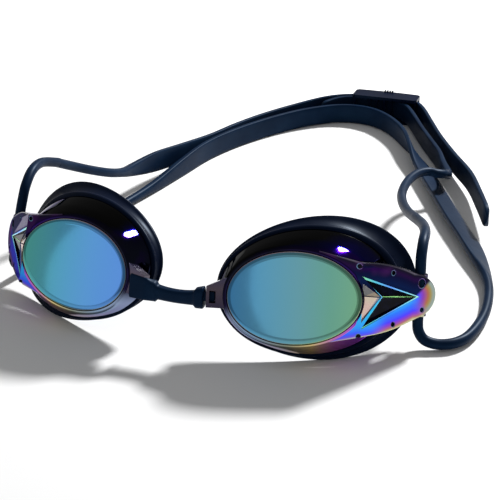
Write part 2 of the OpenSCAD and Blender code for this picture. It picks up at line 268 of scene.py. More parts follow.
# ---------------------------------------------------------------- strap
def curve_line(route, per_stretch=6):
    """The route drawn as a smooth curve through its points."""
    p = np.asarray(route, float)
    n, out = len(p) - 1, []
    for i in range(n):
        a, b, c, d = p[max(i - 1, 0)], p[i], p[i + 1], p[min(i + 2, n)]
        for k in range(per_stretch):
            t = k / per_stretch
            out.append(0.5 * (2 * b + (c - a) * t + (2 * a - 5 * b + 4 * c - d) * t * t
                              + (3 * b - a - 3 * c + d) * t ** 3))
    out.append(p[n])
    return np.array(out)


def line_frames(line, upright):
    """Tangents, and the height direction carried both ways from the ring at index upright, without twist."""
    n = len(line) - 1
    ways = np.array([line[min(i + 1, n)] - line[max(i - 1, 0)] for i in range(n + 1)])
    ways /= np.linalg.norm(ways, axis=1, keepdims=True)
    high = np.zeros_like(line)

    def across(axis, way):
        v = axis - (axis @ way) * way
        return v / np.linalg.norm(v)

    high[upright] = across(np.array([0, 0, 1.0]), ways[upright])
    for i in range(upright + 1, n + 1):
        high[i] = across(high[i - 1], ways[i])
    for i in range(upright - 1, -1, -1):
        high[i] = across(high[i + 1], ways[i])
    return ways, high


def strap_profile(flat, count=32):
    """Corners of the strap's section: a circle where flat is 0, and a rounded band where it is 1."""
    w, t = CORD_D + (BAND_W - CORD_D) * flat, CORD_D + (BAND_T - CORD_D) * flat
    return rounded_section(w / 2, t / 2, 2 + 4.5 * flat, count, 0.5 * math.pi / count)


class Strap:
    """One stretch of the strap, from a route and the lengths along it between which it is flat."""

    def __init__(self, route, flat, lean=None):
        self.line = curve_line(route)
        steps = np.linalg.norm(np.diff(self.line, axis=0), axis=1)
        self.along = np.concatenate([[0], np.cumsum(steps)])
        middle = min((flat[1] + flat[2]) / 2, self.along[-1])
        start = int(np.searchsorted(self.along, middle))
        self.ways, self.high = line_frames(self.line, min(start, len(self.line) - 1))
        if lean:
            middle, reach, ramp, angle = lean
            turn = math.radians(angle) * smoothstep((reach - np.abs(self.along - middle)) / ramp)
            settle = 0.8    # how far a leaning band sinks to the table, of the way
            drop = (self.line[:, 2] - BAND_T / 2) * (1 - np.cos(turn)) * settle
            self.line = self.line - drop[:, None] * np.array([0, 0, 1.0])
            turn = turn[:, None]
            self.high = self.high * np.cos(turn) + np.cross(self.ways, self.high) * np.sin(turn)
        self.flat = (smoothstep((self.along - flat[0]) / (flat[1] - flat[0]))
                     * smoothstep((flat[3] - self.along) / (flat[3] - flat[2])))

    def tube(self, name, first=0, last=None, tip=0.0):
        """A closed tube from ring first to ring last; tip rounds off its far end over that length."""
        last = len(self.line) - 1 if last is None else last
        rings = []
        end = self.along[last]
        for i in range(first, last + 1):
            profile = strap_profile(self.flat[i])
            left = end - self.along[i]
            if tip and left < tip:
                k = 1 - left / tip
                profile = profile * np.array([max(1 - k * k, 0.02) ** 0.5, max(1 - k ** 4, 0.05) ** 0.5])
            side = np.cross(self.ways[i], self.high[i])
            rings.append(self.line[i] + profile[:, :1] * self.high[i] + profile[:, 1:] * side)
        obj = new_object(name, np.concatenate(rings), tube_faces(len(rings), len(rings[0])), sharp=50)
        path = [tuple(at_frame(p)) for p in self.line[first:last + 1]]
        return obj, path


def declare(path, from_cup):
    """Turns the path round when the stretch doesn't start at a cup."""
    if not from_cup:
        path = path[::-1]


lower = Strap(LOWER_ROUTE, LOWER_FLAT, LOWER_LEAN)
half = len(lower.line) // 2
straps = []
left_lower, path = lower.tube("lower_strap_left", 0, half)
declare(path, True)
right_lower, path = lower.tube("lower_strap_right", half)
declare(path, False)
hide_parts("lower_strap")
straps += [left_lower, right_lower]

cords = {}
for word, route in (("left", LEFT_CORD_ROUTE), ("right", RIGHT_CORD_ROUTE)):
    cords[word], path = Strap(route, ROUND).tube(f"upper_cord_{word}_sleeve")
    declare(path, True)
    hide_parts(f"upper_cord_{word}")
left_band, path = Strap(LEFT_BAND_ROUTE, LEFT_BAND_FLAT).tube("upper_band_left_strap", tip=LEFT_TIP)
declare(path, True)
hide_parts("upper_band_left")
right_band, path = Strap(RIGHT_BAND_ROUTE, RIGHT_BAND_FLAT).tube("upper_band_right_strap", tip=RIGHT_TIP)
declare(path, True)
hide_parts("upper_band_right")
straps += [cords["left"], cords["right"], left_band, right_band]

# each stretch's placement is baked into its mesh
for piece, side, free in ((left_lower, 1, (64, 78, 16)), (right_lower, -1, (-64, 78, 16)),
                          (cords["left"], 1, (65, 58, 25)), (cords["right"], -1, (-71, 56, 31))):
    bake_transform(piece)
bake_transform(left_band)
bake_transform(right_band)


# ---------------------------------------------------------------- materials
class Nodes:
    """A small helper that builds one material's nodes."""

    def __init__(self, name):
        self.material = bpy.data.materials.new(name)
        self.material.use_nodes = True
        self.tree = self.material.node_tree
        self.shader = self.tree.nodes["Principled BSDF"]

    def add(self, kind, inputs=(), **settings):
        """A node with these settings, its inputs set or linked."""
        node = self.tree.nodes.new(kind)
        for key, value in settings.items():
            setattr(node, key, value)
        for key, value in dict(inputs).items():
            self.feed(node.inputs[key], value)
        return node

    def feed(self, socket, value):
        """Links another node's output to the socket, or sets a plain value."""
        if isinstance(value, bpy.types.NodeSocket):
            self.tree.links.new(value, socket)
        else:
            socket.default_value = value

    def set(self, **inputs):
        """Sets or links the shader's inputs, by name."""
        for key, value in inputs.items():
            self.feed(self.shader.inputs[key.replace("_", " ")], value)

    def place(self):
        """Outwards, inwards and height in the cup, in centimetres, as three sockets."""
        attribute = self.add("ShaderNodeAttribute", attribute_name="cup_place")
        return self.add("ShaderNodeSeparateXYZ", {"Vector": attribute.outputs["Vector"]}).outputs

    def ramp(self, value, low, high, stops):
        """Colours along value from low to high: stops is a list of (value, colour)."""
        spread = self.add("ShaderNodeMapRange", {"Value": value, "From Min": low, "From Max": high})
        node = self.add("ShaderNodeValToRGB", {"Fac": spread.outputs[0]})
        elements = node.color_ramp.elements
        while len(elements) < len(stops):
            elements.new(0.5)
        for element, (at, colour) in zip(elements, stops):
            element.position = (at - low) / (high - low)
        for element, (at, colour) in zip(elements, stops):
            element.color = (*colour, 1)
        return node.outputs["Color"]

    def step(self, value, low, high):
        """0 at low and below, 1 at high and above."""
        return self.add("ShaderNodeMapRange", {"Value": value, "From Min": low, "From Max": high},
                        interpolation_type="SMOOTHSTEP").outputs[0]

    def mix(self, factor, a, b):
        """Colour a where factor is 0, and b where it is 1."""
        node = self.add("ShaderNodeMix", data_type="RGBA")
        self.feed(node.inputs[0], factor)
        self.feed(node.inputs[6], a if isinstance(a, bpy.types.NodeSocket) else (*a, 1))
        self.feed(node.inputs[7], b if isinstance(b, bpy.types.NodeSocket) else (*b, 1))
        return node.outputs[2]

    def math(self, operation, *values):
        node = self.add("ShaderNodeMath", operation=operation)
        for socket, value in zip(node.inputs, values):
            self.feed(socket, value)
        return node.outputs[0]

    def noise(self, scale, detail):
        """Noise in the piece's own coordinates, about 0.5 on average; scale is in waves per metre."""
        where = self.add("ShaderNodeTexCoord").outputs["Object"]
        node = self.add("ShaderNodeTexNoise", {"Vector": where, "Scale": scale, "Detail": detail})
        return node.outputs["Fac"]

    def bump(self, height, distance, strength):
        node = self.add("ShaderNodeBump", {"Height": height, "Distance": distance, "Strength": strength})
        return node.outputs["Normal"]

    def roughness(self, low, high, scale=700, detail=3):
        """Uneven roughness between low and high."""
        spread = self.add("ShaderNodeMapRange", {"Value": self.noise(scale, detail), "To Min": low,
                                                 "To Max": high})
        self.set(Roughness=spread.outputs[0])


GRAIN = 0.02 * MM    # height of the finest bumps


def silicone(name, colour, light, roughness):
    """Satin moulded silicone: faint mottling, and a fine skin of mould texture."""
    n = Nodes(name)
    n.set(Base_Color=n.mix(n.step(n.noise(90, 2), 0.35, 0.7), colour, light))
    n.roughness(roughness - 0.06, roughness + 0.08, 260)
    n.set(Normal=n.bump(n.noise(5200, 2), GRAIN, 0.35), IOR=1.41, Specular_IOR_Level=0.10,
          Specular_Tint=(0.32, 0.62, 1, 1))
    return n.material


def lens_mirror():
    """A mirror coating: green at the outer end to blue at the nose, and bluer where it is seen aslant."""
    n = Nodes("lens_mirror")
    u, _, _ = n.place()
    facing = n.add("ShaderNodeLayerWeight", {"Blend": 0.5}).outputs["Facing"]
    straight = n.ramp(u, -2.2, 2.2, [(-2.2, (0.05, 0.23, 0.50)), (-1.2, (0.08, 0.27, 0.44)),
                                     (0.2, (0.115, 0.29, 0.33)), (1.1, (0.12, 0.31, 0.23)),
                                     (2.2, (0.16, 0.36, 0.18))])
    aslant = n.ramp(u, -2.2, 2.2, [(-2.2, (0.085, 0.215, 0.62)), (-0.6, (0.085, 0.26, 0.54)),
                                   (0.7, (0.07, 0.29, 0.42)), (2.2, (0.08, 0.38, 0.30))])
    colour = n.mix(n.step(facing, 0.07, 0.17), straight, aslant)
    colour = n.mix(n.math("MULTIPLY", n.step(n.noise(35, 2), 0.3, 0.75), 0.12), colour, (0.12, 0.34, 0.42))
    n.set(Base_Color=colour, Metallic=1.0, Specular_Tint=(0.35, 0.5, 0.6, 1))
    n.roughness(0.03, 0.075, 900, 4)
    n.set(Normal=n.bump(n.noise(60, 1), GRAIN, 0.15))
    return n.material


def shell_coat():
    """The side wall's coating: near black above, and slate, olive and violet below, where it is painted
    brighter as a reflection of the pale floor.
    """
    n = Nodes("shell_coat")
    u, _, v = n.place()
    dark = n.ramp(u, -2.6, 4.4, [(-2.6, (0.006, 0.008, 0.02)), (-1.0, (0.004, 0.004, 0.008)),
                                 (0.6, (0.008, 0.004, 0.03)), (1.8, (0.02, 0.005, 0.09)),
                                 (2.8, (0.012, 0.006, 0.07)), (4.4, (0.004, 0.006, 0.03))])
    bright = n.ramp(u, -2.6, 3.6, [(-2.6, (0.24, 0.28, 0.42)), (-1.2, (0.18, 0.26, 0.38)),
                                   (-0.2, (0.22, 0.24, 0.18)), (0.6, (0.60, 0.46, 0.20)),
                                   (1.3, (0.50, 0.16, 0.46)), (2.2, (0.36, 0.06, 0.70)),
                                   (3.6, (0.08, 0.03, 0.40))])
    # below this height the wall is painted brighter, in the coating's hues, as a painted reflection of the
    # pale floor; the specular tint below is lightened the same way
    low = n.step(v, -0.3, -0.9)
    patch = n.math("MULTIPLY", n.step(n.noise(120, 2), 0.45, 0.7), 0.5)
    n.set(Base_Color=n.mix(patch, n.mix(low, dark, bright), n.mix(low, (0.012, 0.003, 0.05), bright)),
          Metallic=1.0, Specular_Tint=n.mix(low, (0.08, 0.06, 0.16), (0.5, 0.42, 0.55)),
          Coat_Weight=0.15, Coat_Roughness=0.03, Coat_IOR=1.3)
    n.roughness(0.035, 0.09)
    return n.material


def outline_distance(n, u, v):
    """Millimetres inwards from the wing's outline: a taper that ends in a round tip."""
    tip = WING_REACH - TIP_R - TIP_FULLER
    past = n.math("MAXIMUM", n.math("MULTIPLY_ADD", u, 10.0, -tip), 0.0)
    short = n.math("MAXIMUM", n.math("MULTIPLY_ADD", u, -10.0, tip), 0.0)
    high = n.math("MULTIPLY_ADD", v, 10.0, -WING_MID)
    out = n.math("POWER", n.math("ADD", n.math("MULTIPLY", past, past), n.math("MULTIPLY", high, high)), 0.5)
    bow = n.math("MULTIPLY", short, n.math("MULTIPLY_ADD", short, -0.018, 0.3))
    half = n.math("ADD", n.math("MULTIPLY", short, 0.26),
                  n.math("ADD", n.math("MAXIMUM", bow, 0.0), TIP_R + TIP_FULLER))
    return n.math("SUBTRACT", half, out)


def wing_coat():
    """The wing's coating: near black above the arrow head, and below it a rainbow along the outline, painted
    bright as a reflection of the pale floor.
    """
    n = Nodes("wing_coat")
    u, _, v = n.place()
    inward = outline_distance(n, u, v)
    upper = n.ramp(inward, 0, 8, [(0, (0.10, 0.09, 0.12)), (0.5, (0.006, 0.005, 0.014)),
                                  (1.8, (0.014, 0.003, 0.036)), (3.2, (0.003, 0.004, 0.030)),
                                  (5.5, (0.002, 0.009, 0.05)), (8, (0.001, 0.002, 0.02))])
    violet = n.math("MULTIPLY", n.step(n.noise(130, 1), 0.5, 0.66), n.step(u, 3.3, 2.9))
    upper = n.mix(n.math("MULTIPLY", violet, 0.5), upper, (0.05, 0.010, 0.08))
    lower = n.ramp(inward, 0, 7, [(0, (0.50, 0.48, 0.30)), (0.4, (0.42, 0.28, 0.16)),
                                  (0.8, (0.36, 0.12, 0.18)), (1.7, (0.22, 0.05, 0.50)),
                                  (2.7, (0.07, 0.05, 0.85)), (4.6, (0.03, 0.16, 0.85)),
                                  (7, (0.03, 0.42, 0.80))])
    root = n.ramp(inward, 0, 7, [(0, (0.40, 0.36, 0.40)), (0.4, (0.14, 0.08, 0.60)),
                                 (1.2, (0.05, 0.10, 0.90)), (3.2, (0.03, 0.30, 0.85)),
                                 (7, (0.03, 0.45, 0.75))])
    lower = n.mix(n.step(u, 2.3, 2.9), root, lower)
    tip = n.ramp(inward, 0, 7, [(0, (0.26, 0.32, 0.29)), (0.9, (0.25, 0.31, 0.28)),
                                (1.7, (0.30, 0.24, 0.08)), (2.6, (0.36, 0.12, 0.07)),
                                (4.0, (0.22, 0.05, 0.35)), (5.6, (0.07, 0.06, 0.85))])
    lower = n.mix(n.step(n.math("ADD", u, n.math("MULTIPLY", v, 0.7)), 3.35, 3.95), lower, tip)
    # the dark part ends at the arrow head's tip, then on a line that climbs to the outline; below the line
    # the rainbow is painted bright as the floor's reflection
    line = n.math("SUBTRACT", v, n.math("MULTIPLY", n.math("MAXIMUM", n.math("SUBTRACT", u, 3.7), 0.0), 1.1))
    n.set(Base_Color=n.mix(n.step(line, 0.14, -0.02), upper, lower), Metallic=1.0,
          Specular_Tint=(0.12, 0.09, 0.26, 1), Coat_Weight=0.08, Coat_Roughness=0.03, Coat_IOR=1.35)
    n.roughness(0.04, 0.1)
    return n.material


def rim_highlight_coat():
    """The wing's bright softened edges, their highlights painted in: green and blue round the arrow head, and
    straw round the tip.
    """
    n = Nodes("wing_rim_highlight")
    u, _, v = n.place()
    inner = n.step(outline_distance(n, u, v), 1.2, 1.8)
    arrow = n.ramp(u, 2.0, 3.8, [(2.0, (0.30, 0.85, 0.35)), (2.4, (0.10, 0.60, 0.75)),
                                 (2.9, (0.12, 0.35, 1.0)), (3.4, (0.20, 0.70, 0.95)),
                                 (3.8, (0.40, 0.85, 0.70))])
    # painted highlight: the outer edges pale below and dark above
    outer = n.mix(n.step(v, 0.5, -0.2), (0.05, 0.045, 0.07), (0.60, 0.62, 0.36))
    # the arrow head's edges also get a faint painted glow
    n.set(Base_Color=n.mix(inner, outer, arrow), Metallic=0.9, Coat_Weight=0.3,
          Emission_Color=n.mix(inner, (0, 0, 0), arrow), Emission_Strength=0.12)
    n.roughness(0.2, 0.3)
    return n.material


def lens_edge_highlights():
    """The lens plate's polished edge, with painted highlights: straw and green low on its outer side, pale
    high, dusky at the nose.
    """
    n = Nodes("lens_edge_highlights")
    u, _, v = n.place()
    outer = n.ramp(v, -1.5, 1.5, [(-1.5, (0.42, 0.60, 0.24)), (-0.4, (0.50, 0.62, 0.40)),
                                  (0.3, (0.10, 0.12, 0.12)), (1.5, (0.50, 0.48, 0.52))])
    nose = n.ramp(v, -1.5, 1.5, [(-1.5, (0.35, 0.42, 0.42)), (0.2, (0.08, 0.10, 0.16)),
                                 (1.5, (0.40, 0.30, 0.36))])
    n.set(Base_Color=n.mix(n.step(u, -0.6, 0.5), nose, outer), Metallic=0.5)
    n.roughness(0.2, 0.3)
    return n.material


def painted_glint(name, colour, other):
    """A small painted glint in the coating's colours."""
    n = Nodes(name)
    n.set(Base_Color=n.mix(n.step(n.noise(400, 2), 0.4, 0.65), colour, other), Metallic=0.8)
    n.roughness(0.11, 0.20)
    return n.material


def facet_coat_reflections():
    """The folded facets, each painted in the tone of its reflection: grey above, pale pink beside the lens,
    and blue grey at the arrow head.
    """
    n = Nodes("facet_coat_reflections")
    u, _, v = n.place()
    high = n.step(n.math("SUBTRACT", v, n.math("MULTIPLY", n.math("SUBTRACT", u, 2.1), 0.35)), 0.15, 0.18)
    past = n.math("SUBTRACT", n.math("MULTIPLY_ADD", u, -1.52, 3.998), n.math("SUBTRACT", 0.11, v))
    pink = n.mix(n.step(n.noise(150, 1), 0.4, 0.6), (0.72, 0.50, 0.45), (0.66, 0.56, 0.44))
    colour = n.mix(high, n.mix(n.step(past, 0.14, 0.17), (0.27, 0.30, 0.38), pink), (0.36, 0.36, 0.37))
    n.set(Base_Color=colour, Metallic=0.55, Specular_IOR_Level=0.2)
    n.roughness(0.12, 0.2)
    return n.material


def black_gloss():
    """The glossy near black inside the arrow head, the dimples and the strap hole."""
    n = Nodes("recess_gloss")
    n.set(Base_Color=n.mix(n.step(n.noise(300, 2), 0.4, 0.7), (0.002, 0.002, 0.006), (0.004, 0.005, 0.02)),
          IOR=1.45, Specular_IOR_Level=0.07)
    n.roughness(0.05, 0.12)
    return n.material


def tab_coat():
    """The nose tabs' dusky coating."""
    n = Nodes("tab_coat")
    _, _, v = n.place()
    colour = n.ramp(v, -0.5, 0.6, [(-0.5, (0.02, 0.015, 0.05)), (-0.1, (0.05, 0.035, 0.06)),
                                   (0.15, (0.07, 0.05, 0.07)), (0.6, (0.03, 0.03, 0.09))])
    n.set(Base_Color=colour, Metallic=0.7, Coat_Weight=0.2, Coat_Roughness=0.04)
    n.roughness(0.1, 0.18)
    return n.material


def paint(obj, *materials):
    """Gives a piece these materials and no others."""
    obj.data.materials.clear()
    for material in materials:
        obj.data.materials.append(material)


strap_skin = silicone("strap_silicone", (0.0030, 0.0110, 0.0310), (0.0048, 0.0160, 0.0410), 0.40)
seal_skin = silicone("seal_silicone", (0.0014, 0.0036, 0.014), (0.0022, 0.0055, 0.019), 0.36)
clip_skin = silicone("clip_plastic", (0.0012, 0.0035, 0.015), (0.002, 0.005, 0.020), 0.3)
mirror, walls, facets, gloss, tab_skin = lens_mirror(), shell_coat(), facet_coat_reflections(), black_gloss(), tab_coat()
wing_skin, rim_highlight_skin, edge_highlight_skin = wing_coat(), rim_highlight_coat(), lens_edge_highlights()
ridge_skin = painted_glint("ridge_glint", (0.32, 0.80, 0.22), (0.40, 0.85, 0.30))
dimple_skin = painted_glint("dimple_glint", (0.16, 0.10, 0.30), (0.12, 0.30, 0.42))


# ---------------------------------------------------------------- cups
# A section's corners: share of the way from the lens to the seal's rim, and millimetres further out;
# share of the rim's depth, and millimetres deeper. The radii round these corners.
CUP_SECTION = [
    (0, 1.1, 0, 0), (0.06, 1.5, 0.06, 0.3), (0.25, 1.2, 0.22, 0.5), (0.45, 1, 0.5, 0.3), (0.52, 1, 0.64, 0),
    (0.52, -1.2, 0.66, 0), (0.43, -0.9, 0.5, 0.3), (0.22, -0.7, 0.2, 1.9), (0, -LEDGE, 0, 3.3),
    (0, -LEDGE, 0, LENS_T + LENS_GAP), (0, LENS_GAP, 0, LENS_T + LENS_GAP), (0, LENS_GAP, 0, 0)]
CUP_RADII = [0.3, 0.5, 1.5, 2.5, 0.35, 0.35, 2, 2, 0.3, 0.1, 0.1, 0.15]
GASKET_SECTION = [
    (0.5, -1.1, 0.67, 0.1), (0.52, 1.2, 0.65, 0.1), (0.62, 1.6, 0.7, 0.2), (0.6, 1.2, 0.78, 0.3),
    (0.8, 0.4, 0.9, 0.2), (1, 0, 1, -0.5), (1, -0.3, 1, 0.5), (0.78, -0.9, 0.97, 0.4), (0.52, -1, 0.86, 0.3),
    (0.46, -1.4, 0.74, 0.2)]
GASKET_RADII = [0.3, 0.9, 0.9, 0.8, 2.5, 0.45, 0.4, 2.5, 1.5, 0.6]


def lens_ring(grow, d, a):
    """The lens outline grown by some millimetres, at depth d."""
    p = lens_at(a)
    p = p + grow * p / np.linalg.norm(p, axis=-1, keepdims=True)
    return np.stack([p[:, 0], np.full(len(a), d), p[:, 1]], -1)


def make_lens(side):
    """The lens plate: rings from the middle of its back, round its soft edge, to the middle of its front."""
    a = turn_angles(OVAL_STEPS)
    rows = [(-12, LENS_T), (-6, LENS_T), (-0.3, LENS_T), (-0.05, LENS_T - 0.2), (-0.05, 0.22), (-0.12, 0.07),
            (-0.3, 0.0), (-2, 0.0), (-6, 0.0), (-12, 0.0)]
    rings = np.stack([lens_ring(g, d, a) for g, d in rows])
    faces = tube_faces(len(rows), OVAL_STEPS)
    lens = new_object(f"{WORD[side]}_lens_mirror", cup_to_table(rings.reshape(-1, 3), side), faces, sharp=35)
    paint(lens, mirror, edge_highlight_skin)
    edge = range(4 * OVAL_STEPS, 6 * OVAL_STEPS)    # the faces between the fifth and the seventh ring
    lens.data.polygons.foreach_set("material_index", [int(i in edge) for i in range(len(faces))])
    return lens


def flat_place(points):
    """Places that are a cup's (u, d, v) already."""
    return points


def swept_place(points):
    """Places on the swept plate (along it, into it, height) as a cup's (u, d, v)."""
    x, d, v = np.moveaxis(np.asarray(points, float), -1, 0)
    return np.stack([FOLD_U + x * math.cos(SWEEP) - d * math.sin(SWEEP),
                     x * math.sin(SWEEP) + d * math.cos(SWEEP), v], -1)


def solid(name, front, back, place, side, finish=None, ends=None):
    """A closed solid between a front and a back outline; ends are the faces of an outline, if not one."""
    verts = cup_to_table(place(np.array(list(front) + list(back), float)), side)
    obj = new_object(name, verts, prism_faces(len(front), ends), smooth=False)
    obj.data.materials.append(finish)
    return obj


def plate(name, outline, d0, d1, place, side, finish=None):
    """A solid with one outline (along, height), from depth d0 to d1."""
    front, back = [[(x, d, v) for x, v in outline] for d in (d0, d1)]
    return solid(name, front, back, place, side, finish)


def lens_seat(side, finish=None):
    """The room that a lens takes, to cut out of the pieces round it."""
    ring = lens_ring(0.6, 0, turn_angles(120))
    return plate("seat", [(p[0], p[2]) for p in ring], -2, WALL_D + 3, flat_place, side, finish)


def upright_drum(name, r, v0, v1, side, finish, behind=0.0):
    """A cylinder along the strap hole's direction, its axis a distance behind the hole's."""
    ring = circle(BORE_U - behind * math.sin(SWEEP), BORE_D + behind * math.cos(SWEEP), r, 48)
    low, high = [[(u, d, v) for u, d in ring] for v in (v0, v1)]
    return solid(name, low, high, flat_place, side, finish)


def combine(base, tool, operation="DIFFERENCE"):
    """Cuts the tool out of the base, or joins it on; the cut faces keep the tool's finish."""
    mod = base.modifiers.new("cut", "BOOLEAN")
    mod.operation, mod.object, mod.solver, mod.material_mode = operation, tool, "EXACT", "TRANSFER"
    with bpy.context.temp_override(object=base, active_object=base, selected_objects=[base]):
        bpy.ops.object.modifier_apply(modifier="cut")
    bpy.data.objects.remove(tool)


def soften(obj, width, slot=-1):
    """Bevelled edges, with clean shading on the flats; slot is the material slot of the bevels."""
    mod = obj.modifiers.new("soften", "BEVEL")
    mod.material = slot
    mod.width, mod.segments, mod.limit_method = width * MM, 2, "ANGLE"
    mod.angle_limit = math.radians(32)
    mod.harden_normals = True
    obj.data.polygons.foreach_set("use_smooth", [True] * len(obj.data.polygons))
    with bpy.context.temp_override(object=obj, active_object=obj, selected_objects=[obj]):
        bpy.ops.object.modifier_apply(modifier="soften")


def wing_outline(inset):
    """The swept plate's half height at the fold, and its outline beyond, its sides bowed a little."""
    tip_u = WING_REACH - TIP_R - TIP_FULLER
    r, h, run = TIP_R + TIP_FULLER - inset, ROOT_H + ROOT_FULLER - inset, tip_u - ROOT_U
    turn = math.atan2(h, -run) - math.acos(r / math.hypot(run, h))
    touch_u, touch_v = tip_u + r * math.cos(turn), r * math.sin(turn)
    fold_h = h + (touch_v - h) * (FOLD_U - ROOT_U) / (touch_u - ROOT_U)
    arc = [((tip_u + r * math.cos(a) - FOLD_U) / math.cos(SWEEP), WING_MID + r * math.sin(a))
           for a in np.linspace(turn, -turn, 25)]
    bulge = 1.1
    bow = [(t * arc[0][0], WING_MID + (1 - t) * fold_h + t * (arc[0][1] - WING_MID)
            + bulge * math.sin(math.pi * t)) for t in np.linspace(0.08, 0.92, 10)]
    return fold_h, bow + arc + [(x, 2 * WING_MID - v) for x, v in bow[::-1]]


def on_plate(u, v):
    """A place on the cup (outwards, height) as one along the swept plate."""
    return ((u - FOLD_U) / math.cos(SWEEP), v)


def facet(name, corners, floors, clear, side, finish, ends=None):
    """A cutter for the swept plate, with a floor of its own depth under each corner."""
    return solid(name, [(x, clear, v) for x, v in corners], [(x, d, v) for (x, v), d in zip(corners, floors)],
                 swept_place, side, finish, ends)


def make_wing(side):
    """The swept wing: a bowed plate with an arrow head, facets, dimples, a hollow back and a strap hole."""
    fold_h, arc = wing_outline(0)
    inner_h, inner_arc = wing_outline(WALL_T)
    top, low = WING_MID + fold_h, WING_MID - fold_h
    front, clear, shallow, deep = 0.1, -1, 0.22, 0.8    # depths of the face, the cutters' ends and the cuts
    whole = [(-1.2, top + 0.3)] + arc + [(-1.2, low - 0.3)]
    wing = plate(f"{WORD[side]}_cup_wing", whole, front, WALL_D, swept_place, side, wing_skin)
    wing.data.materials.append(rim_highlight_skin)
    soften(wing, 0.3, slot=1)
    over = [(FOLD_U - 5, top + 4), (FOLD_U, top + 4), (FOLD_U, low - 4), (FOLD_U - 5, low - 4)]
    combine(wing, plate("trim", over, -4, front, flat_place, side, wing_skin))
    # the arrow head: a shallow step in the painted-highlight edge finish, then two facets that meet along a
    # ridge from the notch to the tip
    tip, notch, upper, lower_pt = on_plate(37.3, 0.5), on_plate(26.8, 1.1), (0.9, 6.9), (0.7, -7.9)
    step = [(0.1, 7.8), (tip[0] + 1.0, 0.45), (0.2, -8.5), (notch[0] - 0.45, 1.1)]
    combine(wing, plate("step", step, clear, shallow, swept_place, side, rim_highlight_skin))
    head, floors = [upper, tip, lower_pt, notch], [1.4, 0.45, 1.6, 0.45]
    combine(wing, facet("arrow", head, floors, clear, side, gloss, [(0, 1, 3), (1, 2, 3)]))
    ridge = [(notch[0] - 0.3, 1.3), (tip[0] - 1.2, 0.75), (tip[0] - 1.2, 0.4), (notch[0] - 0.3, 0.85)]
    combine(wing, plate("ridge", ridge, 0.32, 1.2, swept_place, side, ridge_skin), "UNION")
    inner = [(-4, WING_MID + inner_h)] + inner_arc + [(-4, WING_MID - inner_h)]
    combine(wing, plate("hollow", inner, WING_T, WALL_D + 3, swept_place, side, gloss))
    root = [(ROOT_U, WING_MID + ROOT_H), (FOLD_U, top), (FOLD_U, low), (ROOT_U, WING_MID - ROOT_H)]
    combine(wing, plate("root", root, front, WING_T, flat_place, side, wing_skin), "UNION")
    combine(wing, upright_drum("boss", BORE_R + 1.1, -6.0, 7.3, side, wing_skin, 0.9), "UNION")
    combine(wing, lens_seat(side, wing_skin))
    # the folded facets between the lens and the notch
    notch = on_plate(26.3, 1.1)
    for corners, falls in (([(0.3, 5.6), notch, (0.3, 2.0)], (0.75, 0.25, 0.45)),
                           ([(0.3, 1.7), (notch[0] - 0.3, 0.9), (0.3, -6.4)], (0.35, 0.2, 0.7))):
        combine(wing, facet("facet", corners, falls, clear, side, facets))
    # dimples on the swept plate and on the flat root, each with a shallow rim
    rim = 0.2
    dimples = [(on_plate(u, v), r, swept_place) for u, v, r in (
        (29.8, 8.4, 0.75), (30.3, -7.7, 0.75), (39.1, -3.8, 0.75), (38.7, 4.6, 1.45))]
    dimples += [((u, v), 0.75, flat_place) for u, v in ((19.4, 10.9), (20.0, -10.6))]
    for at, r, place in dimples:
        combine(wing, plate("dimple_rim", circle(*at, r + rim, 32), clear, shallow, place, side, dimple_skin))
        combine(wing, plate("dimple", circle(*at, r, 32), clear, deep, place, side, gloss))
    combine(wing, upright_drum("bore", BORE_R, BORE_LOW - 2, BORE_HIGH + 2, side, gloss))
    wing.data.set_sharp_from_angle(angle=math.radians(20))
    return wing


def make_tab(side):
    """The nose tab, with the slot that takes the bridge's tongue and a window in front of it."""
    outline = [(-17.5, 6.6), (-20.6, 5.4), (-23.5, 4.0), (-27.2, 2.3), (-27.2, -4.4), (-20.6, -4.4),
               (-17.5, -5.6)]
    slot = [(-29, 1.2), (-22.6, 1.2), (-22.6, -3.4), (-29, -3.4)]
    window = [(-26.2, 0.9), (-24.2, 0.9), (-24.2, -2.9), (-26.2, -2.9)]
    tab = plate(f"{WORD[side]}_cup_nose_tab", outline, 0.4, 3.6, flat_place, side)
    combine(tab, lens_seat(side))
    combine(tab, plate("slot", slot, 1.2, 2.8, flat_place, side))
    combine(tab, plate("window", window, -1, 2, flat_place, side))
    soften(tab, 0.3)
    return tab


def mirrored(obj, name):
    """A mirror copy on the other side of the goggles."""
    twin = bpy.data.objects.new(name, obj.data.copy())
    bpy.context.scene.collection.objects.link(twin)
    twin.data.transform(Matrix.Translation((-2 * REST_MIDDLE[0] * MM, 0, 0)) @ Matrix.Diagonal((-1, 1, 1, 1)))
    twin.data.flip_normals()
    return twin


def note_place(obj, side):
    """Keeps each point's (outwards, inwards, height) in its cup, in centimetres, for the coatings."""
    co = np.array([v.co for v in obj.data.vertices], float) / MM + REST_MIDDLE
    x = side * co[:, 0] - LENS_PITCH / 2
    u = x * math.cos(WRAP) + co[:, 1] * math.sin(WRAP)
    y = -x * math.sin(WRAP) + co[:, 1] * math.cos(WRAP)
    z = co[:, 2] - LENS_Z
    place = np.stack([u, y * math.cos(RAKE) - z * math.sin(RAKE),
                      y * math.sin(RAKE) + z * math.cos(RAKE)], -1)
    attribute = (obj.data.attributes.get("cup_place")
                 or obj.data.attributes.new("cup_place", "FLOAT_VECTOR", "POINT"))
    attribute.data.foreach_set("vector", (place / 10).astype(np.float32).ravel())


